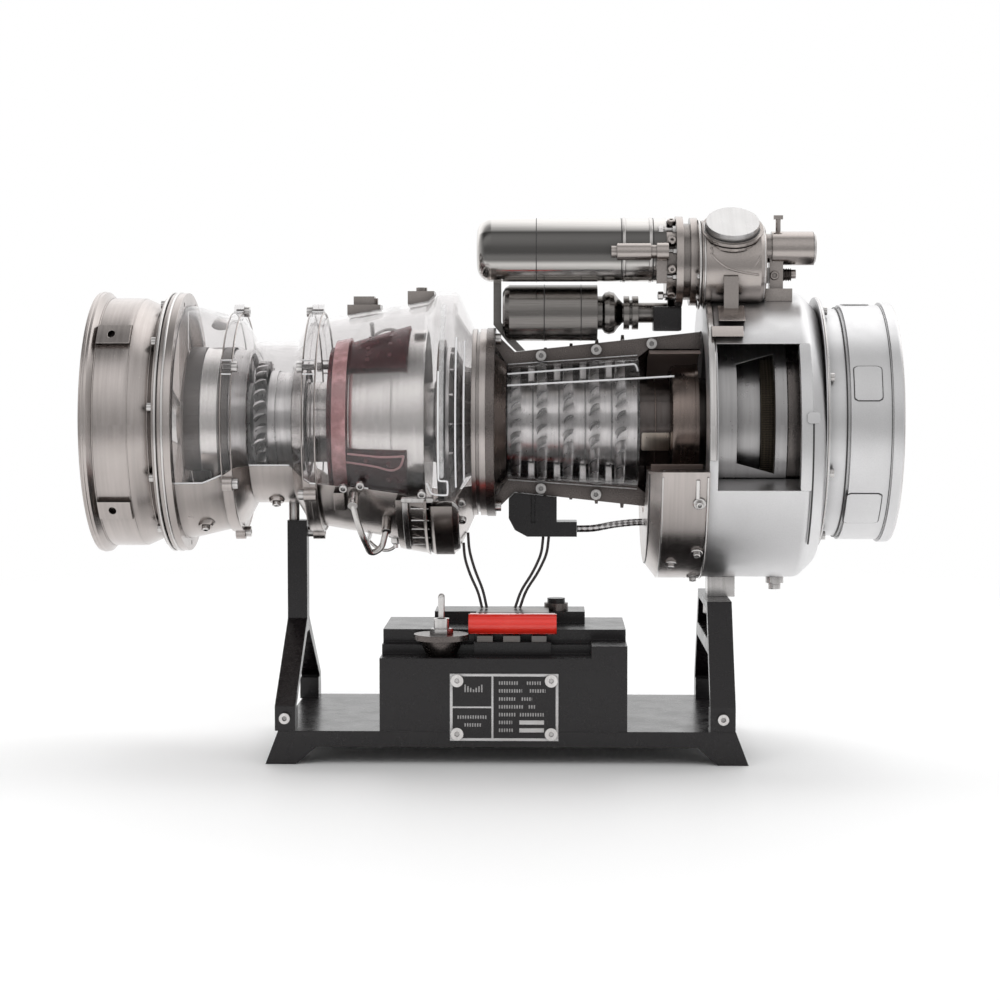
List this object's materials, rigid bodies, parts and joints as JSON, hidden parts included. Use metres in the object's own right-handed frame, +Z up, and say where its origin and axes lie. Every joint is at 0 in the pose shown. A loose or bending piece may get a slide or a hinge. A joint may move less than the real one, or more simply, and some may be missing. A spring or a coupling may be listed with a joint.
{
  "type": "turboshaft engine display model",
  "caption": "Cut-away display model of a turboshaft engine with clear casings, on a black stand with a switch box; the rotors turn and the switches move.",
  "frame": {"origin": "floor level, under the middle of the engine's length and on the plane of its axis", "axes": "+X along the engine from exhaust to intake, +Y away from the switches and the cut-away side, +Z up"},
  "size_m": [0.2818, 0.1072, 0.1921],
  "materials": {
    "warm_steel": "brushed",
    "bright_steel": "brushed",
    "cast_silver": "satin",
    "polished_nickel": "polished",
    "satin_nickel": "satin",
    "rotor_chrome": "polished",
    "gunmetal": "satin",
    "dark_bronze": "satin",
    "clear_shell": "glossy",
    "liner_red": "satin",
    "black_satin": "satin",
    "guard_red": "glossy",
    "plate_silver": "satin",
    "braid_grey": "satin",
    "wire_jacket": "glossy",
    "board_green": "matte",
    "pack_blue": "matte",
    "motor_steel": "satin"
  },
  "bodies": {
    "model_frame": {"base_plate": "black_satin", "battery_pack": "pack_blue", "braided_hose": "braid_grey", "casing_fittings": "bright_steel", "circuit_board": "board_green", "cold_end_screws": "bright_steel", "combustor_barrel": "bright_steel", "combustor_case": "warm_steel", "combustor_liner": "liner_red", "combustor_window": "clear_shell", "compressor_case": "gunmetal", "compressor_stators": "bright_steel", "compressor_window": "clear_shell", "control_box": "black_satin", "diffuser": "gunmetal", "drain_tube": "bright_steel", "drive_motor": "motor_steel", "engine_mounts": "bright_steel", "exciter_box": "black_satin", "exhaust_brackets": "bright_steel", "exhaust_duct": "warm_steel", "exhaust_frame": "bright_steel", "frame_liner": "cast_silver", "front_leg": "black_satin", "front_wires": "wire_jacket", "fuel_actuator": "satin_nickel", "fuel_control": "satin_nickel", "fuel_control_cap": "satin_nickel", "guard_cradle": "black_satin", "hot_end_screws": "bright_steel", "inlet_hub": "dark_bronze", "intake_case": "cast_silver", "intake_liner": "dark_bronze", "intake_vanes": "cast_silver", "main_frame": "cast_silver", "name_plate": "plate_silver", "oil_tank": "polished_nickel", "power_turbine_case": "warm_steel", "power_turbine_window": "clear_shell", "rear_leg": "black_satin", "rear_ring": "bright_steel", "rear_wires": "wire_jacket", "separator_drum": "bright_steel", "shaft_bearings": "bright_steel", "stand_screws": "bright_steel", "starter": "polished_nickel", "starter_flange": "polished_nickel", "switch_bezels": "black_satin", "toggle_switch": "polished_nickel", "turbine_stators": "bright_steel", "wire_plate": "plate_silver"},
    "gas_generator_spool": {"compressor_rotor": "rotor_chrome", "impeller": "rotor_chrome", "gas_generator_shaft": "bright_steel", "gas_generator_turbine": "rotor_chrome"},
    "power_turbine_spool": {"power_turbine": "rotor_chrome", "power_turbine_shaft": "bright_steel"},
    "toggle_arm": {"toggle_lever": "polished_nickel"},
    "guard_flap": {"red_guard": "guard_red"},
    "button_plunger": {"start_button": "black_satin"}
  },
  "joints": [
    {"name": "gas_generator_spin", "type": "hinge", "parent": "model_frame", "child": "gas_generator_spool", "pos_m": [0, 0, 0.1166], "axis": [1, 0, 0], "continuous": true},
    {"name": "power_turbine_spin", "type": "hinge", "parent": "model_frame", "child": "power_turbine_spool", "pos_m": [-0.0955, 0, 0.1166], "axis": [1, 0, 0], "continuous": true},
    {"name": "toggle_swing", "type": "hinge", "parent": "model_frame", "child": "toggle_arm", "pos_m": [-0.0175, -0.0354, 0.0466], "axis": [1, 0, 0], "range_deg": [-12, 12]},
    {"name": "guard_flip", "type": "hinge", "parent": "model_frame", "child": "guard_flap", "pos_m": [0.0071, -0.0265, 0.048], "axis": [-1, 0, 0], "range_deg": [0, 95]},
    {"name": "button_press", "type": "slide", "parent": "model_frame", "child": "button_plunger", "axis": [0, 0, -1], "range_m": [0, 0.0015], "stiffness_N_per_m": 400, "springref_m": -0.0005}
  ]
}
